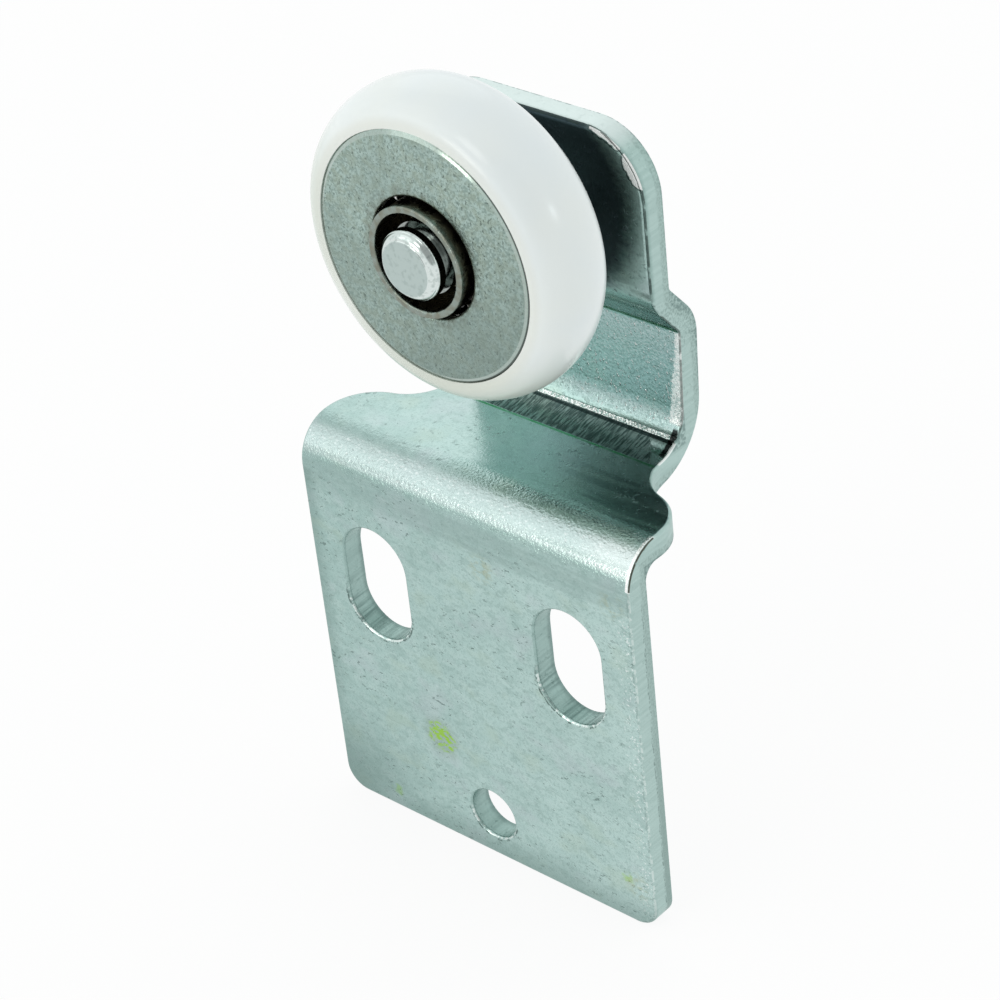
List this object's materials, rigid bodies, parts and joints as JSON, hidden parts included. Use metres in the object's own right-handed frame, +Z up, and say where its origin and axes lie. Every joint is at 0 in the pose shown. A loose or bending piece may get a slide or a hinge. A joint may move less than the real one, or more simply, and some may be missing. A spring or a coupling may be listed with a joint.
{
  "type": "wardrobe door roller",
  "caption": "Crowned plastic wheel on a ball bearing, riveted to a bent zinc-plated steel bracket with slotted screw holes, for a sliding wardrobe door.",
  "frame": {"origin": "on the door plate's back face, midway between the screw slots", "axes": "+X across the plate, +Y into the door, +Z up towards the wheel"},
  "size_m": [0.0382, 0.0217, 0.0784],
  "materials": {
    "zinc_plate": "pale zinc plating, satin with fine grain",
    "cover_steel": "mottled zinc plating, satin",
    "race_steel": "pressed steel, lightly oiled",
    "bright_steel": "bright turned steel",
    "ball_steel": "polished",
    "nylon": "smooth white nylon"
  },
  "bodies": {
    "hanger": {"bracket": "zinc_plate", "axle_rivet": "bright_steel", "spacer": "bright_steel", "cone_front": "race_steel", "cone_rear": "race_steel"},
    "wheel": {"tyre": "nylon", "bearing_ring": "race_steel", "cover_front": "cover_steel", "cover_rear": "cover_steel"},
    "ball_set": {"ball_01": "ball_steel", "ball_02": "ball_steel", "ball_03": "ball_steel", "ball_04": "ball_steel", "ball_05": "ball_steel", "ball_06": "ball_steel", "ball_07": "ball_steel", "ball_08": "ball_steel", "ball_09": "ball_steel", "ball_10": "ball_steel", "ball_11": "ball_steel", "ball_12": "ball_steel"}
  },
  "joints": [
    {"name": "wheel_spin", "type": "hinge", "parent": "hanger", "child": "wheel", "pos_m": [0, 0.0015, 0.0376], "axis": [0, -1, 0], "continuous": true},
    {"name": "ball_orbit", "type": "hinge", "parent": "hanger", "child": "ball_set", "pos_m": [0, 0.0015, 0.0376], "axis": [0, -1, 0], "continuous": true}
  ],
  "couplings": [
    {"joint": "ball_orbit", "follows": "wheel_spin", "ratio": 0.597}
  ]
}
